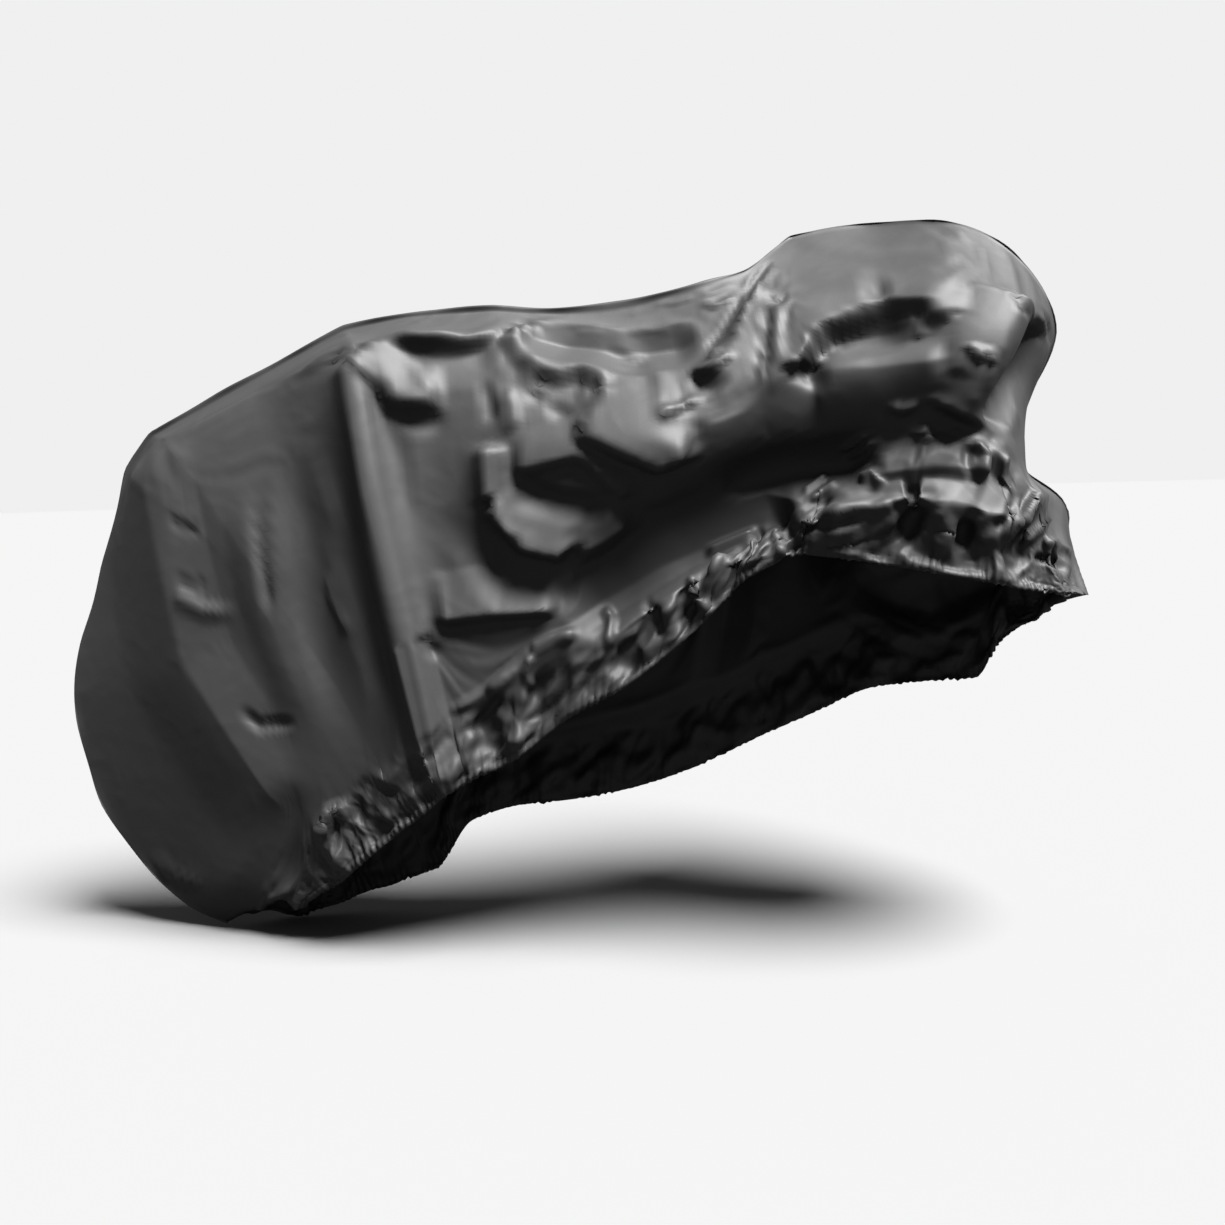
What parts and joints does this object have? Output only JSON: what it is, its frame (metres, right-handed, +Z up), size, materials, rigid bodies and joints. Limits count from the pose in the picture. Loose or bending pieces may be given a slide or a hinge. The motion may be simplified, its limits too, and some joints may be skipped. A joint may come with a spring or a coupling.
{
  "type": "bicycle cover",
  "caption": "Fitted bicycle cover of thin coated cloth, hanging in folds from its rear peak and front crown, with a centre seam and a gathered elastic hem.",
  "frame": {"origin": "the place under the cloth at its rear peak where the covered thing holds it up", "axes": "+Z up, +X to the cover's front, -Y to its right side"},
  "size_m": [1.5151, 0.469, 1.0445],
  "materials": {
    "coated_cloth": "black coated taffeta with a soft half gloss"
  },
  "bodies": {
    "root": {"right_panel": "coated_cloth", "left_panel": "coated_cloth"}
  },
  "joints": []
}
